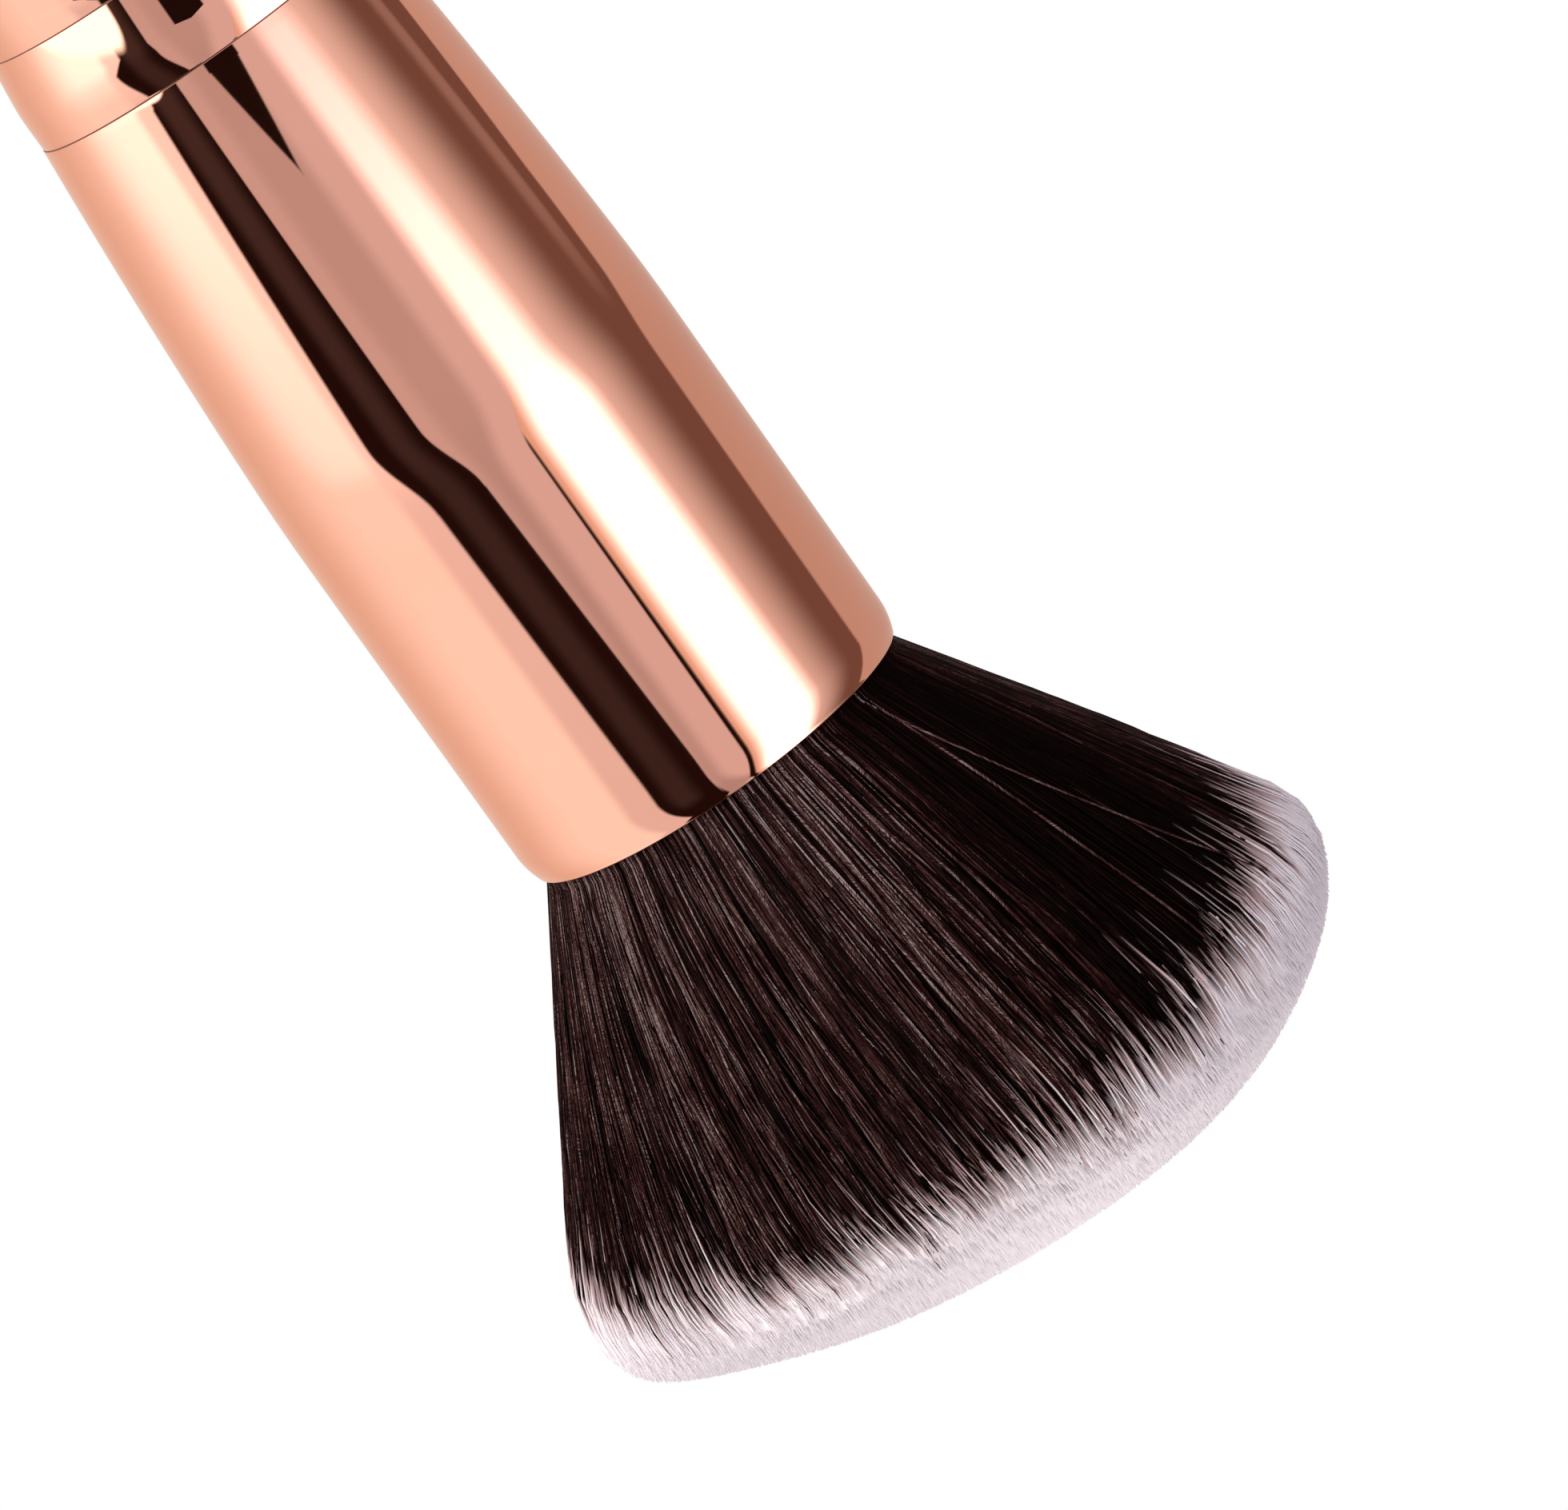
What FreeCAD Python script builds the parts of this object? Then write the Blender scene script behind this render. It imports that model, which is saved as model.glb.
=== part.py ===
import FreeCAD, Part
import math
import os

# Kabuki makeup brush standing on its base: +Z runs along the brush towards the bristles,
# the origin is the centre of the flat base, and every length is in millimetres.

# Fits between pieces
seat_clearance = 0.05      # turned and drawn pieces that slide into each other
glue_clearance = 0.1       # what is bedded in glue
edge_round = 0.1           # broken edges, which show as a fine line at each seam

# Base cap, a flanged plug in the foot of the handle
cap_flange = 1.6
cap_spigot = 5.0
cap_foot_round = 0.8

# Handle shell, waisted under the collar and swelling to a belly near the foot
handle_length = 38.0
handle_wall = 0.7
handle_belly_radius = 11.3
handle_belly_height = 10.0
handle_foot_radius = 10.5

# Handle core, a turned dowel with a tenon
tenon_length = 12.0
core_chamfer = 0.6

# Collar ring, a barrel between handle and ferrule
collar_length = 4.9
collar_step = 0.12         # from the ferrule's tail in to the collar's ends
collar_bulge = 0.14

# Ferrule, a drawn tube: taper, bend, straight tube and rolled-in lip
ferrule_length = 43.5
ferrule_wall = 0.5
ferrule_radius = 11.0
ferrule_taper = 1.4        # from the straight tube in to the tail
straight_length = 19.3
bend_radius = 103.0
bend_angle = math.radians(2.4)
lip_length = 1.6
lip_roll = 0.28            # from the straight tube in to the lip's edge

# Glue plug around the tenon's end and under the bristle roots
glue_skirt = 8.0
glue_cover = 5.0

# Thread that binds the roots
thread_radius = 0.4
binding_turns = 4
binding_height = 3.0

# Bristle head: hollow flare, round shoulder and low dome
head_length = 29.1
head_radius = 22.1
flare_angle = math.radians(32)   # from the axis, where the flare runs into the shoulder
under_round = 6.5          # the shoulder's round below its widest part
shoulder_round = 3.0       # and above it
dome_radius = 40.5
mouth_clearance = 0.05

# Feathered border between the dark filaments and their white tips
tip_depth = 3.8            # under the top of the dome, on the axis
border_drop = 0.6          # under the widest part of the shoulder, at the outside
feather_length = 2.4
feather_count = 40
tip_clearance = 0.2
cut_overrun = 2.0

# Heights where the pieces meet
handle_foot = cap_flange
handle_top = handle_foot + handle_length
tail = handle_top + collar_length
mouth = tail + ferrule_length
bend_top = mouth - straight_length
lip_start = mouth - lip_length
tenon_top = tail + tenon_length
root_bottom = tenon_top + glue_cover
head_top = mouth + head_length

# Radii that follow from a neighbour
ferrule_tail_radius = ferrule_radius - ferrule_taper
lip_radius = ferrule_radius - lip_roll
collar_end_radius = ferrule_tail_radius - collar_step
handle_top_radius = collar_end_radius
core_radius = handle_top_radius - handle_wall - seat_clearance
tenon_radius = ferrule_tail_radius - ferrule_wall - glue_clearance

# The shoulder's round touches the dome from inside
dome_centre = head_top - dome_radius
shoulder_radius = head_radius - shoulder_round
shoulder_height = dome_centre + math.sqrt((dome_radius - shoulder_round) ** 2 - shoulder_radius**2)

up = FreeCAD.Vector(0, 0, 1)
full_turn = 360
diagonal_share = math.sqrt(0.5)


def point(radius, height):
    return FreeCAD.Vector(radius, 0, height)


def turned(*steps):
    # A solid of revolution about the brush axis. A step is the point (radius, height) that a
    # straight line ends on, or two points: one that an arc passes through and its end.
    edges = []
    here = steps[0]
    for step in steps[1:] + steps[:1]:
        if isinstance(step[0], tuple):
            through, there = step
            edges.append(Part.Arc(point(*here), point(*through), point(*there)).toShape())
        else:
            there = step
            edges.append(Part.LineSegment(point(*here), point(*there)).toShape())
        here = there
    return Part.Face(Part.Wire(edges)).revolve(point(0, 0), up, full_turn)


def rounded(corner, back, ahead, radius):
    # The two steps of a square corner's round: back and ahead are the directions along its sides.
    centre = [c + (b + a) * radius for c, b, a in zip(corner, back, ahead)]
    first = tuple(c + b * radius for c, b in zip(corner, back))
    last = tuple(c + a * radius for c, a in zip(corner, ahead))
    middle = tuple(c - (b + a) * radius * diagonal_share for c, b, a in zip(centre, back, ahead))
    return first, (middle, last)


def arc_leaving(start, direction, end):
    # Centre, radius and middle of the arc that leaves start along direction and reaches end.
    normal = (-direction[1], direction[0])
    chord = (end[0] - start[0], end[1] - start[1])
    reach = math.hypot(*chord) ** 2 / 2 / (normal[0] * chord[0] + normal[1] * chord[1])
    centre = (start[0] + normal[0] * reach, start[1] + normal[1] * reach)
    half = ((start[0] + end[0]) / 2 - centre[0], (start[1] + end[1]) / 2 - centre[1])
    grow = abs(reach) / math.hypot(*half)
    return centre, abs(reach), (centre[0] + half[0] * grow, centre[1] + half[1] * grow)


def inside(step, wall):
    # A step moved towards the axis by the thickness of a wall.
    if isinstance(step[0], tuple):
        return tuple(inside(spot, wall) for spot in step)
    return step[0] - wall, step[1]


def backwards(start, steps):
    # The same line walked the other way, without its last point.
    spots = [start] + [step[1] if isinstance(step[0], tuple) else step for step in steps]
    back = []
    for step, before in zip(reversed(steps), reversed(spots[:-1])):
        back.append((step[0], before) if isinstance(step[0], tuple) else before)
    return back


# The ferrule's side from tail to lip
bend_low = (
    ferrule_radius - bend_radius * (1 - math.cos(bend_angle)),
    bend_top - bend_radius * math.sin(bend_angle),
)
bend_middle = (
    ferrule_radius - bend_radius * (1 - math.cos(bend_angle / 2)),
    bend_top - bend_radius * math.sin(bend_angle / 2),
)
taper_centre, taper_radius, taper_middle = arc_leaving(
    bend_low, (-math.sin(bend_angle), -math.cos(bend_angle)), (ferrule_tail_radius, tail + edge_round)
)
lip_end = (lip_radius, mouth - ferrule_wall / 2)
lip_middle = arc_leaving((ferrule_radius, lip_start), (0, 1), lip_end)[2]


def ferrule_radius_at(height):
    if height >= bend_top:
        return ferrule_radius
    if height >= bend_low[1]:
        return ferrule_radius - bend_radius + math.sqrt(bend_radius**2 - (bend_top - height) ** 2)
    bulge = math.copysign(math.sqrt(taper_radius**2 - (height - taper_centre[1]) ** 2),
                          bend_low[0] - taper_centre[0])
    return taper_centre[0] + bulge


def ferrule_bore_at(height, clearance):
    return ferrule_radius_at(height) - ferrule_wall - clearance


# The waist that the thread pulls into the bundle
thread_pitch = 2 * thread_radius + seat_clearance
waist_low = root_bottom + binding_height - seat_clearance
waist_high = waist_low + binding_turns * thread_pitch + seat_clearance
waist_radius = ferrule_bore_at(waist_low, glue_clearance) - 2 * thread_radius - seat_clearance
binding_radius = waist_radius + seat_clearance + thread_radius


def make_base_cap():
    spigot_radius = handle_foot_radius - handle_wall - seat_clearance
    return turned(
        (0, 0),
        *rounded((handle_foot_radius, 0), (-1, 0), (0, 1), cap_foot_round),
        *rounded((handle_foot_radius, handle_foot), (0, -1), (-1, 0), edge_round),
        (spigot_radius, handle_foot),
        (spigot_radius, handle_foot + cap_spigot),
        (0, handle_foot + cap_spigot),
    )


def make_handle_shell():
    foot_round = rounded((handle_foot_radius, handle_foot), (-1, 0), (0, 1), edge_round)
    top_round = rounded((handle_top_radius, handle_top), (0, -1), (-1, 0), edge_round)
    foot, top = foot_round[1][1], top_round[0]
    belly = (handle_belly_radius, handle_foot + handle_belly_height)
    turn = ((belly[0] + top[0]) / 2, (belly[1] + top[1]) / 2)
    side = [
        (arc_leaving(belly, (0, -1), foot)[2], belly),
        (arc_leaving(belly, (0, 1), turn)[2], turn),
        (arc_leaving(top, (0, -1), turn)[2], top),
    ]
    bore = [inside(step, handle_wall) for step in side]
    bore_start, bore_end = inside(foot, handle_wall), inside(top, handle_wall)
    return turned(
        *foot_round,
        *side,
        top_round[1],
        (bore_end[0], handle_top),
        bore_end,
        *backwards(bore_start, bore),
        (bore_start[0], handle_foot),
    )


def make_handle_core():
    foot = handle_foot + cap_spigot
    return turned(
        (0, foot),
        (core_radius - core_chamfer, foot),
        (core_radius, foot + core_chamfer),
        (core_radius, handle_top),
        (tenon_radius, handle_top),
        (tenon_radius, tenon_top - core_chamfer),
        (tenon_radius - core_chamfer, tenon_top),
        (0, tenon_top),
    )


def make_collar_ring():
    bore = tenon_radius + seat_clearance
    low_round = rounded((collar_end_radius, handle_top), (-1, 0), (0, 1), edge_round)
    high_round = rounded((collar_end_radius, tail), (0, -1), (-1, 0), edge_round)
    return turned(
        (bore, handle_top),
        *low_round,
        ((collar_end_radius + collar_bulge, (handle_top + tail) / 2), high_round[0]),
        high_round[1],
        (bore, tail),
    )


def make_ferrule():
    tail_round = rounded((ferrule_tail_radius, tail), (-1, 0), (0, 1), edge_round)
    side_start = tail_round[1][1]
    side = [
        (taper_middle, bend_low),
        (bend_middle, (ferrule_radius, bend_top)),
        (ferrule_radius, lip_start),
        (lip_middle, lip_end),
    ]
    crest = (lip_radius - ferrule_wall / 2, mouth)
    bore = [inside(step, ferrule_wall) for step in side]
    bore_start = inside(side_start, ferrule_wall)
    return turned(
        *tail_round,
        *side,
        (crest, inside(lip_end, ferrule_wall)),
        *backwards(bore_start, bore),
        (bore_start[0], tail),
    )


def make_glue_plug():
    bottom = tenon_top - glue_skirt
    socket = tenon_radius + seat_clearance
    return turned(
        (socket, bottom),
        (ferrule_bore_at(bottom, seat_clearance), bottom),
        (ferrule_bore_at(root_bottom, seat_clearance), root_bottom),
        (0, root_bottom),
        (0, tenon_top),
        (socket, tenon_top),
    )


def make_root_binding():
    # Each turn of the thread lies as a ring in the waist of the bundle.
    rings = []
    for turn in range(binding_turns):
        height = root_bottom + binding_height + thread_radius + turn * thread_pitch
        rings.append(Part.makeTorus(binding_radius, thread_radius, point(0, height), up))
    return Part.makeCompound(rings)


def make_bristle_root():
    low = ferrule_bore_at(root_bottom, glue_clearance)
    bound = ferrule_bore_at(waist_low, glue_clearance)
    freed = ferrule_bore_at(waist_high, glue_clearance)
    full = ferrule_radius - ferrule_wall - glue_clearance
    return turned(
        (0, root_bottom),
        (low, root_bottom),
        (bound, waist_low),
        (waist_radius, waist_low),
        (waist_radius, waist_high),
        (freed, waist_high),
        (full, bend_top),
        (full, lip_start),
        (lip_radius - ferrule_wall - glue_clearance, lip_end[1]),
        (lip_radius - ferrule_wall - glue_clearance, mouth),
        (0, mouth),
    )


def make_head():
    # The whole head: a hollow flare from the mouth that runs into the shoulder, and the shoulder
    # into the dome.
    start = (lip_radius, mouth + mouth_clearance)
    under_radius = head_radius - under_round
    flare_end = (
        under_radius + under_round * math.cos(flare_angle),
        shoulder_height - under_round * math.sin(flare_angle),
    )
    under_middle = (
        under_radius + under_round * math.cos(flare_angle / 2),
        shoulder_height - under_round * math.sin(flare_angle / 2),
    )
    flare_middle = arc_leaving(flare_end, (-math.sin(flare_angle), -math.cos(flare_angle)), start)[2]
    lean = math.atan2(shoulder_radius, shoulder_height - dome_centre)
    rise = math.pi / 2 - lean
    shoulder_middle = (
        shoulder_radius + shoulder_round * math.cos(rise / 2),
        shoulder_height + shoulder_round * math.sin(rise / 2),
    )
    dome_edge = (dome_radius * math.sin(lean), dome_centre + dome_radius * math.cos(lean))
    dome_middle = (dome_radius * math.sin(lean / 2), dome_centre + dome_radius * math.cos(lean / 2))
    return turned(
        (0, start[1]),
        start,
        (flare_middle, flare_end),
        (under_middle, (head_radius, shoulder_height)),
        (shoulder_middle, dome_edge),
        (dome_middle, (0, head_top)),
    )


def make_border(lift):
    # The space under the feathered border: a fan of narrow flats from a point on the axis
    # to a zigzag outside the head, closed below.
    reach = head_radius + cut_overrun
    peak_height = head_top - tip_depth
    peak = FreeCAD.Vector(0, 0, peak_height + lift)
    rim, floor = [], []
    for corner in range(2 * feather_count):
        angle = math.pi * corner / feather_count
        swing = feather_length / 2 if corner % 2 else -feather_length / 2
        drop = (peak_height - shoulder_height + border_drop - swing) * reach / head_radius
        across = FreeCAD.Vector(reach * math.cos(angle), reach * math.sin(angle), 0)
        rim.append(across + FreeCAD.Vector(0, 0, peak_height - drop + lift))
        floor.append(across + FreeCAD.Vector(0, 0, mouth - cut_overrun))
    faces = [Part.Face(Part.makePolygon(floor + floor[:1]))]
    for here in range(2 * feather_count):
        there = (here + 1) % (2 * feather_count)
        faces.append(Part.Face(Part.makePolygon([peak, rim[here], rim[there], peak])))
        wall = [rim[here], rim[there], floor[there], floor[here], rim[here]]
        faces.append(Part.Face(Part.makePolygon(wall)))
    space = Part.Solid(Part.Shell(faces))
    if space.Volume < 0:
        space.reverse()
    return space


def make_dark_bristles():
    return make_head().common(make_border(0))


def make_bristle_tips():
    return make_head().cut(make_border(tip_clearance))


pieces = {
    "base_cap": make_base_cap,
    "handle_shell": make_handle_shell,
    "handle_core": make_handle_core,
    "collar_ring": make_collar_ring,
    "ferrule": make_ferrule,
    "glue_plug": make_glue_plug,
    "root_binding": make_root_binding,
    "bristle_root": make_bristle_root,
    "dark_bristles": make_dark_bristles,
    "bristle_tips": make_bristle_tips,
}

os.makedirs("parts", exist_ok=True)
for name, make in pieces.items():
    shape = make()
    shape.exportStep(f"parts/{name}.step")
    print(name, len(shape.Solids), shape.isValid(), round(shape.Volume, 1))
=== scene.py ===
# Kabuki makeup brush: plated metal, two-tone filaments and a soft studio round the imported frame
import cmath
import math

import bpy
import numpy as np
from mathutils import Matrix, Vector


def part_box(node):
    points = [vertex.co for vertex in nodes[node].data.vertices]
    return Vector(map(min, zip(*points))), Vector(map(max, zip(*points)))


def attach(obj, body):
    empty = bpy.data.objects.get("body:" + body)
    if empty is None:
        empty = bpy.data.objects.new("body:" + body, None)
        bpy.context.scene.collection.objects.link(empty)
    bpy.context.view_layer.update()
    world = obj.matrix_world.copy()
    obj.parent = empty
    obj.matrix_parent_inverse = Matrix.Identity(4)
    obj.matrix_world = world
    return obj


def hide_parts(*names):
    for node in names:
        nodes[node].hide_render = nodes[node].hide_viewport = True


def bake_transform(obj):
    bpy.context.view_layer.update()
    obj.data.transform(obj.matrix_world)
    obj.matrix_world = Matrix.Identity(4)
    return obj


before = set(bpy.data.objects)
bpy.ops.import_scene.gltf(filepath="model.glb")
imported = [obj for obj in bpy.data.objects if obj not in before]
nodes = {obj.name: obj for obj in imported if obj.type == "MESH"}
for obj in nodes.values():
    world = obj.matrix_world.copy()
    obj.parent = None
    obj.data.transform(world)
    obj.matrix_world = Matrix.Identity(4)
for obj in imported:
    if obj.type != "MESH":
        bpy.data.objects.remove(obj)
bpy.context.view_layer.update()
mm = 0.001

# Heights and radii that the pieces share, in millimetres, read from the frame
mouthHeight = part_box("ferrule")[1].z / mm
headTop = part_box("bristle_tips")[1].z / mm
headRadius = max(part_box(name)[1].x for name in ("dark_bristles", "bristle_tips")) / mm
print("frame loaded: mouth at", round(mouthHeight, 2), "mm, head", round(headRadius, 2), "mm round its axis")


def linear(hexColour):
    channels = [int(hexColour[i:i + 2], 16) / 255 for i in (1, 3, 5)]
    return tuple(c / 12.92 if c <= 0.04045 else ((c + 0.055) / 1.055) ** 2.4 for c in channels) + (1.0,)


def addNode(tree, kind, settings=None, links=None):
    # A link comes from a socket, from a node's first output or from a plain number
    node = tree.nodes.new("ShaderNode" + kind)
    for name, value in (settings or {}).items():
        if isinstance(name, str) and hasattr(node, name):
            setattr(node, name, value)
        else:
            node.inputs[name].default_value = value
    for name, source in (links or {}).items():
        if isinstance(source, (int, float)):
            node.inputs[name].default_value = source
        elif isinstance(source, bpy.types.Node):
            tree.links.new(source.outputs[0], node.inputs[name])
        else:
            tree.links.new(source, node.inputs[name])
    return node


def newMaterial(name):
    material = bpy.data.materials.new(name)
    material.use_nodes = True
    material.node_tree.nodes.clear()
    return material, material.node_tree


def coat(tree, settings, links):
    shader = addNode(tree, "BsdfPrincipled", settings, links)
    addNode(tree, "OutputMaterial", links={"Surface": shader})


# Camera at the photograph's angle: named pixels are in its 1960 x 1888 frame
photoView = {
    "width": 1960,
    "height": 1888,
    "mouthPixel": (894, 940.5),     # centre of the ferrule's mouth
    "axisPixels": (0.579, 0.815),   # which way the bristles point in the picture
    "focalPixels": 11130,
    "distance": 440,                # mm from the lens to the mouth
    "tilt": 12,                     # degrees that the bristles lean away from the lens
    "sensor": 36,
}


def placeCamera(view):
    lean = math.radians(view["tilt"])
    level = Vector((1, 0, 0))
    upright = Vector((0, -math.sin(lean), math.cos(lean)))
    back = Vector((0, -math.cos(lean), -math.sin(lean)))
    sideways, down = view["axisPixels"]
    right = -down * level + sideways * upright
    up = -sideways * level - down * upright
    perPixel = view["distance"] / view["focalPixels"]
    acrossMm = (view["width"] / 2 - view["mouthPixel"][0]) * perPixel
    upMm = (view["mouthPixel"][1] - view["height"] / 2) * perPixel
    target = Vector((0, 0, mouthHeight)) + acrossMm * right + upMm * up
    camera = bpy.data.objects.new("photoCamera", bpy.data.cameras.new("photoCamera"))
    bpy.context.collection.objects.link(camera)
    camera.data.sensor_width = view["sensor"]
    camera.data.lens = view["sensor"] * view["focalPixels"] / view["width"]
    camera.data.clip_start = 0.01
    turn = Matrix((right, up, back)).transposed().to_4x4()
    camera.matrix_world = Matrix.Translation((target + view["distance"] * back) * mm) @ turn
    bpy.context.scene.camera = camera


placeCamera(photoView)
print("camera placed")

# The light tent that the plating mirrors. Angles are in degrees round the brush, from the lens towards its
# right, and above the horizon. An edge or a strength may have a value for each height in rises.
tent = {
    "rises": (-4, 4.5, 9.3, 11.7),
    "eases": ("LINEAR", "SMOOTHSTEP", "LINEAR"),   # between one height and the next
    "wall": ("#FFE5D5", 0.85),
    "backdrop": ("#FFFFFF", 1.0),
    "fillLeft": ("#FFF7F4", 1.66),
    "fillRight": ("#E9DFEA", 0.63),
    "fillSpan": (-35, 55),
    "fillOverhead": 0.5,        # degrees that its shade comes round for each degree up
    "usual": {"bottom": -90, "top": 90, "corner": 1},   # where a card says nothing else
    "cards": [
        {"name": "left bounce", "left": -112, "right": -50,
         "soft": (30, 8, 10), "colour": "#FFFFFF", "strength": 1.17},
        {"name": "low bounce", "left": -94, "right": -57.5, "top": 5.6,
         "soft": (18, 3, 1.2), "colour": "#F6FAFF", "strength": (2.1, 1.6, 1.6, 1.6)},
        {"name": "rear wall", "left": 97, "right": 176,
         "soft": (4, 25, 10), "colour": "#FFE6DC", "strength": (0.62, 0.62, 0.59, 0.59)},
        {"name": "right side", "left": 40, "right": 101,
         "soft": (8, 3, 10), "colour": "#FFFAFC", "strength": 0.92},
        {"name": "flag halo", "left": (-60, -62, -59.5, -58), "right": 0, "top": 80, "corner": 8,
         "soft": (4, 1, 3), "colour": "#FFFAFF", "strength": (1.3, 1.2, 0.95, 0.87)},
        {"name": "dark flag", "left": (-49, -57, -45.5, -40.5), "right": (12, 12, 14.4, 15), "top": 78,
         "corner": 18, "soft": (1.2, 1.2, 3), "colour": "#FFA898", "strength": 0.016},
        {"name": "dark flag rim", "left": 4, "right": (12, 12, 14.4, 15), "top": 86,
         "soft": (1.2, 1.2, 2), "colour": "#FFA898", "strength": 0.016},
        {"name": "flag sheen", "left": (-46, -45, -38, -33), "right": (-33, -34, -25, -20), "top": 34,
         "soft": (4, 5, 8), "colour": "#FFD4D0", "strength": (0.064, 0.05, 0.046, 0.046)},
        {"name": "front card", "left": (-29, -27, -16.2, -10), "right": (30, 22, 13.1, 12.2), "top": 66,
         "corner": 12, "soft": (0.8, 0.8, 4.0), "colour": "#FFF2F8", "strength": (0.57, 0.57, 0.54, 0.5)},
        {"name": "front card left edge", "left": (-29, -27, -16.2, -10), "right": (-20, -18, -13.6, -9),
         "top": 40, "soft": (0.8, 5, 12), "colour": "#FFF4FA", "strength": 0.66},
        {"name": "front card lit side", "left": (5, 5, -2.5, -4), "right": (30, 22, 13.1, 12.2), "top": 66,
         "corner": 12, "soft": (5, 0.8, 4.0), "colour": "#FFF6FF", "strength": 0.76},
        {"name": "right wall", "left": (68, 69, 75, 75), "right": (135, 116, 109.1, 107.5),
         "soft": (20, 1.5, 10), "colour": "#FFCBBC", "strength": 0.185},
        {"name": "right wall gap", "left": 98, "right": 106.5, "top": 5.5,
         "soft": (4, 2, 2), "colour": "#FFE0D8", "strength": 0.33},
        {"name": "softbox", "left": (26, 25, 22, 22), "right": (46.5, 49, 56.4, 59.5), "bottom": -30,
         "top": 88, "soft": (6, 8, 6), "colour": "#F4F2FF", "strength": (1.6, 2.7, 3.3, 3.3)},
        {"name": "low wedge", "left": (-10, 22, 22, 22), "right": (10.5, -21.5, -21.5, -21.5), "bottom": -20,
         "top": 5, "soft": (0.8, 0.8, 0.8), "colour": "#FFB0A4", "strength": 0.014},
        {"name": "low glow", "left": -115, "right": -38, "bottom": -40, "top": -5.4, "corner": 5,
         "soft": (12, 1.5, 0.8), "colour": "#FFFFFF", "strength": 2.6},
        {"name": "lens", "left": -10, "right": 10, "bottom": -40, "top": -8.6, "corner": 9,
         "soft": (0.8, 0.8, 0.25), "colour": "#FFB0A4", "strength": 0.012},
    ],
}


def atRise(tree, sky, value):
    # A number, or the node of one that follows its values at the tent's heights
    if not isinstance(value, tuple):
        return value
    total = value[0]
    for ramp, low, high in zip(sky["ramps"], value, value[1:]):
        total = addNode(tree, "Math", {"operation": "MULTIPLY_ADD", 1: high - low}, {0: ramp, 2: total})
    return total


def hangCard(tree, sky, behind, card):
    # How far outside the card's edges a direction lies, counted in each edge's own softness
    outside = []
    edges = ((card["left"], -1, card["soft"][0]), (card["right"], 1, card["soft"][1]))
    for place, sign, soft in edges:
        gap = addNode(tree, "Math", {"operation": "SUBTRACT"},
                      {0: sky["azimuth"], 1: atRise(tree, sky, place)})
        outside.append(addNode(tree, "Math", {"operation": "MULTIPLY", 1: sign / soft}, {0: gap}))
    across = addNode(tree, "Math", {"operation": "MAXIMUM"}, {0: outside[0], 1: outside[1]})
    middle = (card["top"] + card["bottom"]) / 2
    half = (card["top"] - card["bottom"]) / 2
    offset = addNode(tree, "Math", {"operation": "SUBTRACT", 1: middle}, {0: sky["elevation"]})
    size = addNode(tree, "Math", {"operation": "ABSOLUTE"}, {0: offset})
    upward = addNode(tree, "Math", {"operation": "SUBTRACT", 1: half}, {0: size})
    scaled = addNode(tree, "Math", {"operation": "DIVIDE", 1: card["soft"][2]}, {0: upward})
    flat = addNode(tree, "CombineXYZ", links={0: across, 1: scaled})
    # Rounded corners: the length of what is left past the corner's own radius
    corner = (card["corner"], card["corner"], 0)
    inner = addNode(tree, "VectorMath", {"operation": "ADD", 1: corner}, {0: flat})
    past = addNode(tree, "VectorMath", {"operation": "MAXIMUM", 1: (0, 0, 0)}, {0: inner})
    reach = addNode(tree, "VectorMath", {"operation": "LENGTH"}, {0: past})
    mask = addNode(tree, "MapRange",
                   {"interpolation_type": "SMOOTHSTEP", 1: card["corner"] + 1, 2: card["corner"] - 1},
                   {0: reach.outputs["Value"]})
    shade = addNode(tree, "VectorMath", {"operation": "SCALE", 0: linear(card["colour"])[:3]},
                    {"Scale": atRise(tree, sky, card["strength"])})
    mix = addNode(tree, "Mix", {"data_type": "RGBA"}, {0: mask, 6: behind, 7: shade})
    return mix.outputs[2]


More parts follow.
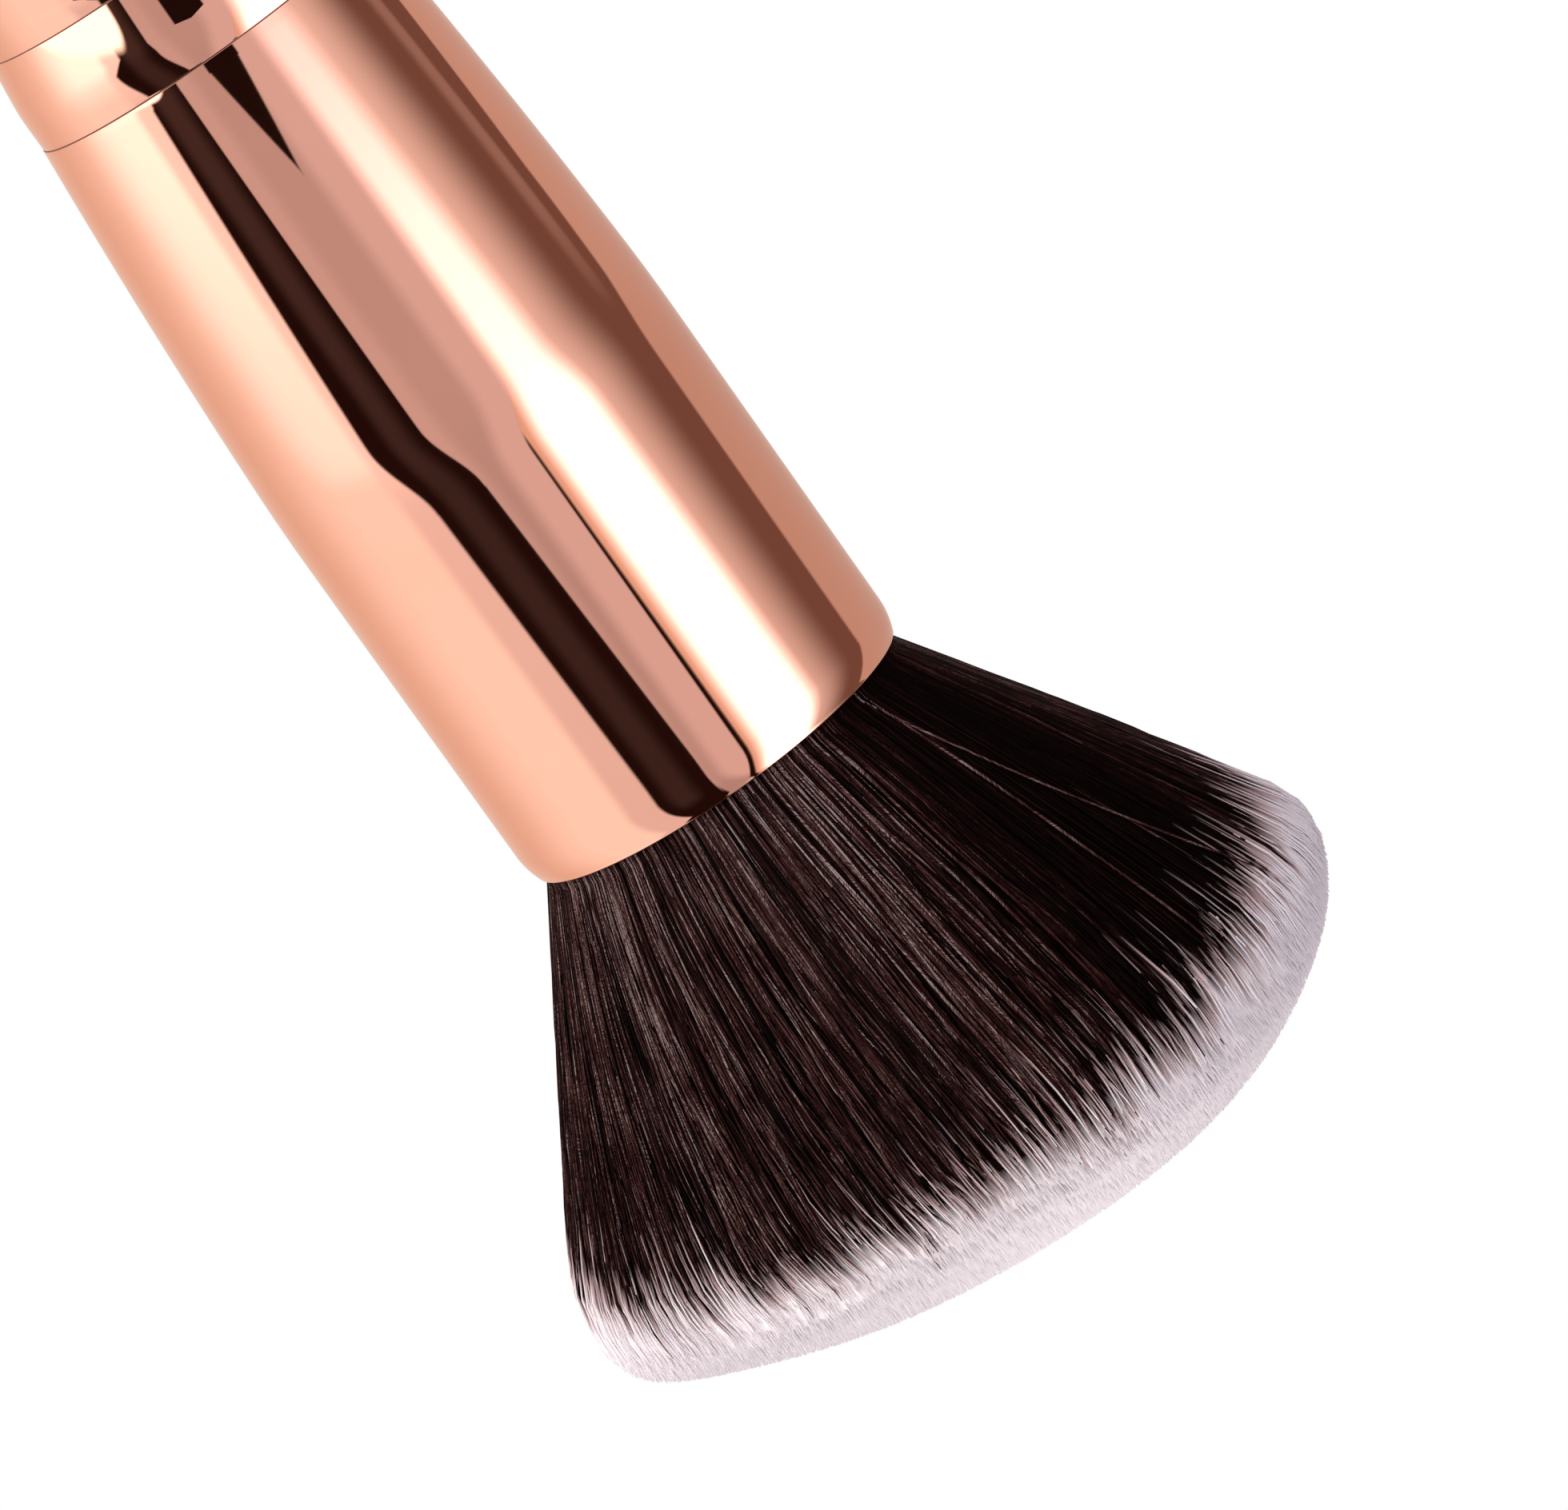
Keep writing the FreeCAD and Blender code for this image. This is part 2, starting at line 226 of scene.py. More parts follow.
def lightStudio(tent):
    world = bpy.data.worlds.new("lightTent")
    bpy.context.scene.world = world
    world.use_nodes = True
    tree = world.node_tree
    tree.nodes.clear()
    # Bearings count from the lens, which looks along +Y
    coords = addNode(tree, "TexCoord")
    turned = addNode(tree, "VectorMath", {"operation": "MULTIPLY", 1: (-1, -1, 1)},
                     {0: coords.outputs["Generated"]})
    parts = addNode(tree, "SeparateXYZ", links={0: turned})
    bearing = addNode(tree, "Math", {"operation": "ARCTAN2"}, {0: parts, 1: parts.outputs[1]})
    azimuth = addNode(tree, "Math", {"operation": "DEGREES"}, {0: bearing})
    height = addNode(tree, "Math", {"operation": "ARCSINE"}, {0: parts.outputs[2]})
    elevation = addNode(tree, "Math", {"operation": "DEGREES"}, {0: height})
    ramps = []
    for low, high, ease in zip(tent["rises"], tent["rises"][1:], tent["eases"]):
        ramps.append(addNode(tree, "MapRange", {"interpolation_type": ease, 1: low, 2: high}, {0: elevation}))
    sky = {"azimuth": azimuth, "elevation": elevation, "ramps": ramps}
    shades = {}
    for part in ("wall", "backdrop", "fillLeft", "fillRight"):
        colour, strength = tent[part]
        shades[part] = [channel * strength for channel in linear(colour)[:3]] + [1]
    wall = addNode(tree, "RGB")
    wall.outputs[0].default_value = shades["wall"]
    mirrored = wall
    for card in tent["cards"]:
        mirrored = hangCard(tree, sky, mirrored, {**tent["usual"], **card})
    # Soft surfaces are lit by an even tent that fades to a cool shade on the right and overhead
    above = addNode(tree, "Math", {"operation": "MAXIMUM", 1: 0.0}, {0: elevation})
    comeRound = addNode(tree, "Math", {"operation": "MULTIPLY_ADD", 1: tent["fillOverhead"]},
                        {0: above, 2: azimuth})
    left, right = tent["fillSpan"]
    fade = addNode(tree, "MapRange", {"interpolation_type": "SMOOTHSTEP", 1: left, 2: right},
                   {0: comeRound})
    fill = addNode(tree, "Mix",
                   {"data_type": "RGBA", 6: shades["fillLeft"], 7: shades["fillRight"]}, {0: fade})
    path = addNode(tree, "LightPath")
    lit = addNode(tree, "Mix", {"data_type": "RGBA"},
                  {0: path.outputs["Is Glossy Ray"], 6: fill.outputs[2], 7: mirrored})
    seen = addNode(tree, "Mix", {"data_type": "RGBA", 7: shades["backdrop"]},
                   {0: path.outputs["Is Camera Ray"], 6: lit.outputs[2]})
    glow = addNode(tree, "Background", links={0: seen.outputs[2]})
    addNode(tree, "OutputWorld", links={0: glow})
    bpy.context.scene.view_settings.view_transform = "Standard"


lightStudio(tent)
print("light tent hung with", len(tent["cards"]), "cards")

# Heights where two plated pieces meet, in millimetres
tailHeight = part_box("ferrule")[0].z / mm
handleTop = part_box("collar_ring")[0].z / mm
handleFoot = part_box("handle_shell")[0].z / mm
seamHeights = (handleFoot, handleTop, tailHeight)

# Rose gold plate, drawn tube polished before plating: a pink mirror with faint polishing lines round the
# tube, and painted shade along its seams
plate = {
    "colour": "#F9BCA2",
    "worn": "#F6B79D",
    "roughness": (0.012, 0.03),
    "polishLines": 0.35,     # mm between polishing lines
    "lineStretch": 40,       # how much longer they are than wide
    "cloud": 6.0,            # mm across the faint cloudy patches
    # painted shade: the colour of the band along each seam, where the gap between two pieces falls in shade
    "seamShade": "#A87C6B",
    "seamShadeWidth": (0.02, 0.06),   # mm from a seam: full, and none
    "seamRoughness": 0.45,
}


def makeRoseGoldPlate(plate):
    material, tree = newMaterial("rose gold plate, polished")
    coords = addNode(tree, "TexCoord")
    place = addNode(tree, "Mapping", {"Scale": (1, 1, plate["lineStretch"])}, {0: coords.outputs["Object"]})
    lineScale = 1 / (plate["lineStretch"] * plate["polishLines"] * mm)
    lines = addNode(tree, "TexNoise", {"Scale": lineScale, "Detail": 3.0}, {0: place})
    cloud = addNode(tree, "TexNoise", {"Scale": 1 / (plate["cloud"] * mm), "Detail": 2.0},
                    {0: coords.outputs["Object"]})
    rough = addNode(tree, "MapRange", {3: plate["roughness"][0], 4: plate["roughness"][1]}, {0: lines})
    colour = addNode(tree, "Mix", {"data_type": "RGBA", 6: linear(plate["colour"]), 7: linear(plate["worn"])},
                     {0: cloud})
    # Painted shade in the three seams, which run round the brush at one height each: a darker, rougher band
    # of plate where the gaps fall in shade
    parts = addNode(tree, "SeparateXYZ", links={0: coords.outputs["Object"]})
    inner, outer = plate["seamShadeWidth"]
    tint, gloss = colour.outputs[2], rough
    for seamHeight in seamHeights:
        near = addNode(tree, "Math", {"operation": "SUBTRACT", 1: seamHeight * mm}, {0: parts.outputs[2]})
        size = addNode(tree, "Math", {"operation": "ABSOLUTE"}, {0: near})
        mask = addNode(tree, "MapRange", {1: outer * mm, 2: inner * mm}, {0: size})
        tint = addNode(tree, "Mix", {"data_type": "RGBA", 7: linear(plate["seamShade"])},
                       {0: mask, 6: tint}).outputs[2]
        gloss = addNode(tree, "Mix", {3: plate["seamRoughness"]}, {0: mask, 2: gloss})
    coat(tree, {"Metallic": 1.0}, {"Base Color": tint, "Roughness": gloss})
    return material


roseGoldPlate = makeRoseGoldPlate(plate)


def arcFrom(start, heading, end, count):
    # The points after start on the arc that leaves it along heading and reaches end
    chord = complex(*end) - complex(*start)
    sweep = 2j * cmath.phase(chord / complex(*heading))
    spots = []
    for i in range(1, count + 1):
        spots.append(complex(*start) + chord * (cmath.exp(sweep * i / count) - 1) / (cmath.exp(sweep) - 1))
    return [(spot.real, spot.imag) for spot in spots]


def thinWall(side, wall):
    # The same side walked back, inside by the wall's thickness
    return [(radius - wall, height) for radius, height in reversed(side)]


joinGap = 0.001                # mm within which corners are merged
smoothAngle = 50               # degrees up to which an edge is shaded smooth


def startCircle(name, **shape):
    bpy.ops.object.select_all(action="DESELECT")
    bpy.ops.mesh.primitive_circle_add(**shape)
    bpy.ops.object.transform_apply()
    bpy.context.object.name = name
    return bpy.context.object


def finishShell(fillSides=0):
    # Merge what meets, close open ends, turn the faces outwards and shade
    bpy.ops.mesh.select_all(action="SELECT")
    bpy.ops.mesh.remove_doubles(threshold=joinGap * mm)
    if fillSides:
        bpy.ops.mesh.fill_holes(sides=fillSides)
    bpy.ops.mesh.select_all(action="SELECT")
    bpy.ops.mesh.normals_make_consistent(inside=False)
    bpy.ops.object.mode_set(mode="OBJECT")
    bpy.ops.object.shade_smooth_by_angle(angle=math.radians(smoothAngle))


def turnPiece(name, outline, sides):
    # A chain of points (radius, height) in millimetres, spun round the brush axis
    piece = startCircle(name, vertices=3, radius=1 * mm)
    bpy.ops.object.mode_set(mode="EDIT")
    bpy.ops.mesh.select_all(action="SELECT")
    bpy.ops.mesh.merge(type="CENTER")
    here = (0, 0)
    for step, there in enumerate(list(outline) + [outline[0]]):
        move = ((there[0] - here[0]) * mm, 0, (there[1] - here[1]) * mm)
        if step:
            bpy.ops.mesh.extrude_region_move(TRANSFORM_OT_translate={"value": move})
        else:
            bpy.ops.transform.translate(value=move)
        here = there
    bpy.ops.mesh.select_all(action="SELECT")
    bpy.ops.mesh.spin(steps=sides, angle=math.tau, center=(0, 0, 0), axis=(0, 0, 1))
    finishShell()
    weigh = piece.modifiers.new("evenShading", "WEIGHTED_NORMAL")
    weigh.keep_sharp = True
    bpy.ops.object.modifier_apply(modifier=weigh.name)
    return piece


def plateOver(piece, node):
    piece.data.materials.append(roseGoldPlate)
    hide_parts(node)
    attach(piece, "handle")


# Sizes that the metal pieces share, in millimetres
seam = 0.05                    # broken edge at each seam
roundSides = 288
edgeSteps = 5                  # points on a broken edge

# Ferrule: a drawn tube that tapers to the handle, bends to its straight stretch and rolls in at the mouth
ferruleTube = {
    "wall": 0.5,
    "radius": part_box("ferrule")[1].x / mm,
    "taper": 1.4,
    "straight": 19.3,
    "bendRadius": 103,
    "bendAngle": 2.4,
    "lipLength": 1.6,
    "lipRoll": 0.28,
    "lipWall": 0.26,
    "steps": {"taper": 36, "bend": 12, "straight": 8, "lip": 14, "rim": 10},
}


def makeFerrule(tube):
    radius, wall, steps = tube["radius"], tube["wall"], tube["steps"]
    tail = radius - tube["taper"]
    bend = math.radians(tube["bendAngle"])
    bendTop = (radius, mouthHeight - tube["straight"])
    bendLow = (radius - tube["bendRadius"] * (1 - math.cos(bend)),
               bendTop[1] - tube["bendRadius"] * math.sin(bend))
    lipStart = (radius, mouthHeight - tube["lipLength"])
    lipEnd = (radius - tube["lipRoll"], mouthHeight - tube["lipWall"] / 2)
    foot = (tail, tailHeight + seam)
    taper = arcFrom(bendLow, (-math.sin(bend), -math.cos(bend)), foot, steps["taper"])
    side = list(reversed(taper)) + [bendLow]
    side += arcFrom(bendLow, (math.sin(bend), math.cos(bend)), bendTop, steps["bend"])
    side += [(radius, height) for height in np.linspace(bendTop[1], lipStart[1], steps["straight"] + 1)[1:]]
    side += arcFrom(lipStart, (0, 1), lipEnd, steps["lip"])
    start = (tail - seam, tailHeight)
    outline = [start] + arcFrom(start, (1, 0), foot, edgeSteps)[:-1] + side
    outline += arcFrom(lipEnd, (0, 1), (lipEnd[0] - tube["lipWall"], lipEnd[1]), steps["rim"])
    outline += thinWall(side[:-steps["lip"]], wall) + [(tail - wall, tailHeight)]
    return turnPiece("ferrule_tube", outline, roundSides)


plateOver(makeFerrule(ferruleTube), "ferrule")

# Collar: it widens from the handle to a soft crease and runs on nearly straight to the ferrule
collarBand = {
    "bore": 9.05,
    "end": 9.56,                                  # radius at the ferrule
    "places": (0, 0.52, 0.65, 1),                 # shares of its length from the handle
    "slopes": (0.150, 0.100, 0.013, -0.018),      # and how fast it widens there
    "steps": 96,
}


def collarSide(band):
    heights = np.linspace(handleTop + seam, tailHeight - seam, band["steps"] + 1)
    slopes = np.interp((heights - handleTop) / (tailHeight - handleTop), band["places"], band["slopes"])
    growth = np.concatenate([[0], np.cumsum((slopes[1:] + slopes[:-1]) / 2 * np.diff(heights))])
    return list(zip(band["end"] + growth - growth[-1], heights))


def makeCollar(band):
    side = collarSide(band)
    low, high = side[0][0] - seam, side[-1][0] - seam
    outline = [(band["bore"], handleTop), (low, handleTop)]
    outline += arcFrom((low, handleTop), (1, 0), side[0], edgeSteps)[:-1] + side
    outline += arcFrom(side[-1], (0, 1), (high, tailHeight), edgeSteps) + [(band["bore"], tailHeight)]
    return turnPiece("collar_band", outline, roundSides)


plateOver(makeCollar(collarBand), "collar_ring")

# Handle: waisted under the collar, with a belly near the foot
handleTube = {
    "wall": 0.7,
    "foot": 10.5,
    "belly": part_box("handle_shell")[1].x / mm,
    "bellyRise": 10,
    "top": collarSide(collarBand)[0][0],
    "steps": {"foot": 12, "waist": 16},
}


def makeHandle(tube):
    wall, steps = tube["wall"], tube["steps"]
    foot, top = (tube["foot"], handleFoot + seam), (tube["top"], handleTop - seam)
    belly = (tube["belly"], handleFoot + tube["bellyRise"])
    waist = ((belly[0] + top[0]) / 2, (belly[1] + top[1]) / 2)
    side = list(reversed(arcFrom(belly, (0, -1), foot, steps["foot"]))) + [belly]
    side += arcFrom(belly, (0, 1), waist, steps["waist"])
    side += list(reversed(arcFrom(top, (0, -1), waist, steps["waist"])[:-1])) + [top]
    start = (foot[0] - seam, handleFoot)
    outline = [start] + arcFrom(start, (1, 0), foot, edgeSteps)[:-1] + side
    outline += arcFrom(top, (0, 1), (top[0] - seam, handleTop), edgeSteps)
    outline += [(top[0] - wall, handleTop)] + thinWall(side, wall) + [(foot[0] - wall, handleFoot)]
    return turnPiece("handle_tube", outline, roundSides)


plateOver(makeHandle(handleTube), "handle_shell")

# Base cap: a plug with a rounded flange that the brush stands on
baseCap = {"spigot": 9.75, "footRound": 0.8, "steps": 10, "top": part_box("base_cap")[1].z / mm}


def makeBaseCap(cap):
    rim, foot = handleTube["foot"], cap["footRound"]
    outline = [(0, 0), (rim - foot, 0)] + arcFrom((rim - foot, 0), (1, 0), (rim, foot), cap["steps"])
    edge = (rim, handleFoot - seam)
    outline += [edge] + arcFrom(edge, (0, 1), (rim - seam, handleFoot), edgeSteps)
    outline += [(cap["spigot"], handleFoot), (cap["spigot"], cap["top"]), (0, cap["top"])]
    return turnPiece("foot_cap", outline, roundSides)


plateOver(makeBaseCap(baseCap), "base_cap")
print("metal turned and plated")

# Head: a hollow flare from the mouth, a round shoulder and a low dome
head = {
    "start": 0.05,             # over the mouth
    "mouthRadius": 10.15,      # inside the rolled lip
    "flareAngle": 32,          # degrees from the axis, where the flare runs into the shoulder
    "underRound": 6.5,
    "shoulderRound": 3.0,
    "domeRadius": 40.5,
    "border": 108.3,           # height of the dye line at the outside
    "borderPeak": 113.3,       # and on the axis
    "lean": 0.25,              # how far the head leans sideways at its shoulder
    # Its top was cut aslant: shares of the way across, from the picture's right, and mm of height there
    "cutPlaces": (-1, -0.9, -0.8, -0.65, -0.4, 0, 0.4, 0.65, 0.8, 0.9, 1),
    "cutRises": (-1.1, -0.55, 0.2, 0.75, 0.5, 0, -0.28, -0.3, -0.15, 0.05, 0.5),
    "cutDegree": 6,
    "cutDepth": 4.0,           # mm under the widest place where the slant starts
    "cutRun": 6.0,             # mm over which it grows to its full size
    "pressStop": 1.7,          # mm under the dye line, where a press moves the filaments in full
    "steps": {"flare": 24, "under": 16, "shoulder": 20, "dome": 40},
}


def headLines(head):
    # The side from the mouth to the widest place, and the top from there to the apex
    flare, steps = math.radians(head["flareAngle"]), head["steps"]
    domeCentre = headTop - head["domeRadius"]
    inner = headRadius - head["shoulderRound"]
    reach = head["domeRadius"] - head["shoulderRound"]
    widest = (headRadius, domeCentre + math.sqrt(reach ** 2 - inner ** 2))
    under = head["underRound"]
    flareEnd = (headRadius - under * (1 - math.cos(flare)), widest[1] - under * math.sin(flare))
    start = (head["mouthRadius"], mouthHeight + head["start"])
    side = arcFrom(flareEnd, (-math.sin(flare), -math.cos(flare)), start, steps["flare"])
    side = list(reversed(side)) + [flareEnd]
    side += arcFrom(flareEnd, (math.sin(flare), math.cos(flare)), widest, steps["under"])
    lean = math.asin(inner / reach)
    domeEdge = (head["domeRadius"] * math.sin(lean), domeCentre + head["domeRadius"] * math.cos(lean))
    top = [widest] + arcFrom(widest, (0, 1), domeEdge, steps["shoulder"])
    top += arcFrom(domeEdge, (-math.cos(lean), math.sin(lean)), (0, headTop), steps["dome"])
    return np.array(side), np.array(top)


sideLine, topLine = headLines(head)
widestHeight = sideLine[-1, 1]


def guideRadius(height):
    return np.interp(height, sideLine[:, 1], sideLine[:, 0])


def topHeight(radius):
    return np.interp(radius, topLine[::-1, 0], topLine[::-1, 1])


def leanHead(spots):
    # The real head leans a little to the picture's right, and its top was cut aslant
    rise = np.clip((spots[:, 2] - mouthHeight) / (widestHeight - mouthHeight), 0, 1)
    cut = np.clip((spots[:, 2] - widestHeight + head["cutDepth"]) / head["cutRun"], 0, 1)
    slant = np.polyfit(head["cutPlaces"], head["cutRises"], head["cutDegree"])
    spots[:, 2] += np.polyval(slant, spots[:, 0] / headRadius) * cut * cut * (3 - 2 * cut)
    spots[:, 0] -= head["lean"] * rise
    return spots


# Filaments: PBT, extruded, tapered by etching and dyed dark up to a ragged line. The eye gets thin shiny
# lines that go from near black through mauve to white.
filament = {
    "darks": ("#040101", "#200C0B", "#3E2321", "#604643", "#988886"),   # by shade, to the palest filaments
    "darkPlaces": (0, 0.12, 0.3, 0.6, 1),
    "dyeEdge": "#C3ACAC",
    "white": "#FFFDFC",
    "whiteCool": "#F6F1F6",
    "roughness": 0.4,
    "specular": 0.035,
    "fleck": 1.1,              # mm along a filament between lighter flecks
    "fleckShades": (0.4, 1.75),
    "fleckRange": (0.3, 0.7),  # of the noise
    "fleckApart": 70,          # how unlike the flecks of two shades are
    "spanBelow": 26,           # mm under the dye line that the map's width covers
    "span": 36,
    "edge": (-1.0, 1.2),       # mm over which the dye fades
}


def makeFilamentMaterial(filament):
    material, tree = newMaterial("PBT filament, extruded and dip dyed")
    own = addNode(tree, "UVMap", {"uv_map": "OFBake"})
    parts = addNode(tree, "SeparateXYZ", links={0: own})
    # Flecks where a filament turns to the light: the map's height tells one filament from the next
    along = filament["span"] / filament["fleck"]
    stretch = addNode(tree, "Mapping", {"Scale": (along, filament["fleckApart"], 1)}, {0: own})
    flecks = addNode(tree, "TexNoise", {"noise_dimensions": "2D", "Scale": 1.0, "Detail": 1.0},
                     {"Vector": stretch})
    dull, bright = filament["fleckShades"]
    lit = addNode(tree, "MapRange",
                  {1: filament["fleckRange"][0], 2: filament["fleckRange"][1], 3: dull, 4: bright},
                  {0: flecks})
    shade = addNode(tree, "Math", {"operation": "MULTIPLY"}, {0: parts.outputs[1], 1: lit})
    low, high = [(edge + filament["spanBelow"]) / filament["span"] for edge in filament["edge"]]
    dark = addNode(tree, "ValToRGB", links={0: shade})
    stops = dark.color_ramp.elements
    while len(stops) < len(filament["darks"]):
        stops.new(0.5)
    for stop, place, colour in zip(stops, filament["darkPlaces"], filament["darks"]):
        stop.position = place
        stop.color = linear(colour)
    # The white follows the same shade, painted light and glints included: cooler where it is low
    white = addNode(tree, "Mix", {"data_type": "RGBA", 6: linear(filament["whiteCool"]),
                                  7: linear(filament["white"])}, {0: parts.outputs[1]})
    middle = (low + high) / 2
    toEdge = addNode(tree, "MapRange", {1: low, 2: middle}, {0: parts})
    toWhite = addNode(tree, "MapRange", {1: middle, 2: high}, {0: parts})
    faded = addNode(tree, "Mix", {"data_type": "RGBA", 7: linear(filament["dyeEdge"])},
                    {0: toEdge, 6: dark})
    colour = addNode(tree, "Mix", {"data_type": "RGBA"},
                     {0: toWhite, 6: faded.outputs[2], 7: white.outputs[2]})
    coat(tree, {"Roughness": filament["roughness"], "Specular IOR Level": filament["specular"]},
         {"Base Color": colour.outputs[2]})
    return material


filamentMaterial = makeFilamentMaterial(filament)


def modelFilament(steps):
    # One three-sided filament a unit long and a unit thick, drawn to a fine tip and closed at its ends
    made = startCircle("filament", vertices=3, radius=1, fill_type="NGON")
    bpy.ops.object.mode_set(mode="EDIT")
    bpy.ops.mesh.select_all(action="SELECT")
    height = 0
    for length, width in steps:
        height += length
        bpy.ops.mesh.extrude_region_move(TRANSFORM_OT_translate={"value": (0, 0, length)})
        bpy.ops.transform.resize(value=(width, width, 1), center_override=(0, 0, height))
    bpy.ops.mesh.select_all(action="SELECT")
    bpy.ops.mesh.normals_make_consistent(inside=False)
    bpy.ops.object.mode_set(mode="OBJECT")
    spots = np.array([corner.co for corner in made.data.vertices])
    faces = [list(face.vertices) for face in made.data.polygons]
    bpy.data.objects.remove(made)
    return spots, faces


# How a filament lies along its length
lie = {
    "riseLimit": 1.2,            # share of the way to the widest place where the changes stop
    "probe": 0.1,                # mm up and down between which its slope is taken
    "evenTips": (1.6, 1.2, 0.25),   # waves and clumps die out towards the cut tips, but not all the way
    "inOut": (0.5, 1.3),         # how much of a wave goes in and out, and its pace there
    "paintedMouthLight": (1.35, 0.75),   # painted light: shade at the mouth, and how much it falls to the shoulder
    "paintedGlint": (0.65, 0.35, 1.9),  # painted glints: mean and swing of the shade along a wave, and its pace
    "edgeShade": 0.02,
    "mapEdge": 0.001,
}


def layFilaments(name, template, strands):
    # Copies of one filament, each along its own line from root to tip
    spots, faces = template
    count, size = len(strands["angle"]), len(spots)
    column = {key: values[:, None] for key, values in strands.items()}
    height = column["root"] + (column["tip"] - column["root"]) * spots[None, :, 2]
    rise = np.clip((height - mouthHeight) / (widestHeight - mouthHeight), 0, lie["riseLimit"])
    probe = lie["probe"]
    slope = column["share"] * (guideRadius(height + probe) - guideRadius(height - probe)) / (2 * probe)
    length = np.sqrt(1 + slope ** 2)
    sway = math.tau * (height - mouthHeight) / column["waveLength"] + column["phase"]
    calmStart, calmRate, calmLeft = lie["evenTips"]
    loose = np.clip(rise, 0, 1) * np.clip(calmStart - calmRate * rise, calmLeft, 1)
    radius = column["share"] * guideRadius(height) + column["proud"] * loose
    radius = radius + lie["inOut"][0] * column["wave"] * loose * np.cos(lie["inOut"][1] * sway)
    turn = column["angle"] + column["pull"] * loose + column["drift"] * (rise - 0.5)
    turn = turn + column["sweep"] * (1 - np.clip(rise, 0, 1))
    lateral = column["wave"] * loose * np.sin(sway) + column["thick"] * spots[None, :, 1]
    out = radius + column["thick"] * spots[None, :, 0] / length
    lifted = height - column["thick"] * spots[None, :, 0] * slope / length
    places = np.stack([out * np.cos(turn) - lateral * np.sin(turn),
                       out * np.sin(turn) + lateral * np.cos(turn), lifted], axis=2)
    places = leanHead(places.reshape(-1, 3)) * mm
    mesh = bpy.data.meshes.new(name)
    allFaces = []
    for start in range(0, count * size, size):
        allFaces += [[start + corner for corner in face] for face in faces]
    mesh.from_pydata(places, [], allFaces)
    mesh.polygons.foreach_set("use_smooth", np.ones(len(mesh.polygons), bool))
    # The map holds height over the dye line along its width and, up it, the filament's shade: its own tone
    # with painted light and painted glints on it
    across = ((height - column["border"]) * column["sharp"] + filament["spanBelow"]) / filament["span"]
    mean, swing, pace = lie["paintedGlint"]
    # painted light: paler towards the mouth
    shade = column["tone"] * (lie["paintedMouthLight"][0] - lie["paintedMouthLight"][1] * rise)
    # painted glints along each wave
    shade = shade * (mean + swing * np.sin(pace * sway)) + lie["edgeShade"] * spots[None, :, 1]
    flat = np.stack([across, shade], axis=2).reshape(-1, 2)
    corners = np.zeros(len(mesh.loops), np.int32)
    mesh.loops.foreach_get("vertex_index", corners)
    layer = mesh.uv_layers.new(name="OFBake")
    flat = np.clip(flat, lie["mapEdge"], 1 - lie["mapEdge"])
    layer.uv.foreach_set("vector", flat[corners].astype(np.float32).ravel())
    piece = bpy.data.objects.new(name, mesh)
    bpy.context.collection.objects.link(piece)
    mesh.materials.append(filamentMaterial)
    return piece


def joinHead(piece, slot, *stoodFor):
    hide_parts(*stoodFor)
    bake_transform(piece)


bundle = {
    "seed": 41,
    "outer": 9000,
    "dome": 27000,
    "pieces": 5,
    "thick": (0.05, 0.075),
    "clumps": 210,
    "pull": 0.5,               # how far a clump draws its filaments together at the tips
    "proud": 0.16,             # mm that a clump stands out or in
    "drift": (0.022, 0.08),    # radians that a filament strays round the head: most, and the loose ones
    "looseShare": 0.1,
    "wave": 0.2,
    "waveLength": (6, 13),
    "combed": (0.08, 0.24),    # radians from root to tip, as the head was combed towards its faces
    # painted light: how much paler a filament is made round the head, by degrees from the lens: lit at the
    # left and the faces, in shade on the right
    "sideLightPainted": ((-90, 0.65), (-25, 1.35), (8, 1.6), (28, 0.25), (55, 0.06), (72, 0.6), (180, 0.6)),
    # The dye line in mm: at the faces, how far it dips at the sides, its slant, and more at the right
    "dyeDip": (0.35, 3.5, 0.65, 0.7),
    "clumpBorder": 0.5,        # mm that a clump's dye line is off the mean
    "ownBorder": 0.55,
    "paleShare": 0.18,         # filaments whose dye fades early and slowly
    "longShare": 0.03,         # and those dyed far into the white
    "strayShare": 0.0025,      # pale ones that lie across the rest
    "stray": {"drift": 0.2, "proud": 0.3, "tone": (0.4, 0.8)},
    "shoulderClimb": (0.8, 70),    # how the outer tips spread up the shoulder, and degrees that they cover
    "clumpTone": (0.6, 1.15),
    "tonePower": 1.7,              # most filaments are dark
    "toneLimits": (0.01, 0.95),
    "sunk": 0.06,                  # mm that a filament lies under its clump
    "uneven": 0.07,                # mm that its tip is cut short
    "pullShare": (0.5, 1),
    "pullLimit": 0.05,             # radians
    "sharp": (0.8, 1.3),           # how fast the dye fades
    "paleSharp": (0.3, 0.6),
    "paleBorder": (0.2, 2.2),      # mm that a pale one's dye ends early
    "longBorder": (0.8, 2.4),      # mm that a long one's goes on
    "waveSpread": (0.9, 1.1),
    "phaseSpread": 0.8,
    "domeInset": 1.0,              # mm inside the widest place where the dome's tips end
    "domeWave": 0.08,
    "domeTone": (0.5, 0.2, 0.05, 0.95),   # mean, spread and limits
    # Each step is a share of the length, and how much of the width is left after it
    "longSteps": [(0.072, 1)] * 11 + [(0.07, 0.95), (0.07, 0.9), (0.04, 0.8), (0.028, 0.6)],
    "shortSteps": [(0.6, 0.9), (0.3, 0.75), (0.1, 0.55)],
    "rootDepth": 1.0,
    "domeDepth": 4.5,
}


def fromLens(angle):
    # Radians round the head from the lens towards the picture's right
    return -math.pi / 2 - angle


def borderHeight(share, angle):
    face, dip, slant, right = bundle["dyeDip"]
    around = fromLens(angle)
    outside = head["border"] + face - dip * np.sin(around) ** 2 + slant * np.sin(2 * around)
    outside -= right * np.sin(around)
    return head["borderPeak"] + (outside - head["borderPeak"]) * share


